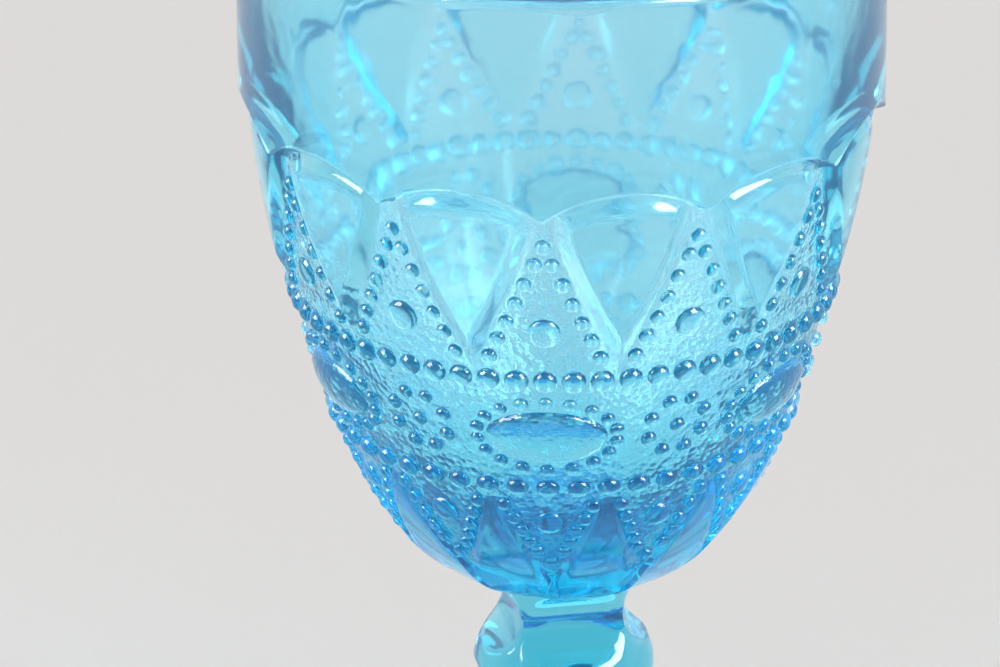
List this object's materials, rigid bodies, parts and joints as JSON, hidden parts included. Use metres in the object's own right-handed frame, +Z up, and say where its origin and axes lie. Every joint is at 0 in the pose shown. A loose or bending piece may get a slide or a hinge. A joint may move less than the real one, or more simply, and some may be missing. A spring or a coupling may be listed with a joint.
{
  "type": "goblet",
  "caption": "Stemmed pressed-glass goblet: deep bowl with a plain scalloped band, petals, bead rings and ovals, on a four-sided knopped stem and a round foot.",
  "frame": {"origin": "centre of the foot's underside, on the surface the goblet stands on", "axes": "+Z up along the goblet's axis of symmetry; a point of the scalloped band faces -Y"},
  "size_m": [0.0848, 0.0848, 0.165],
  "materials": {
    "glass": "clear sky-blue pressed glass, fire polished"
  },
  "bodies": {
    "root": {"bowl": "glass", "stem": "glass", "foot": "glass"}
  },
  "joints": []
}
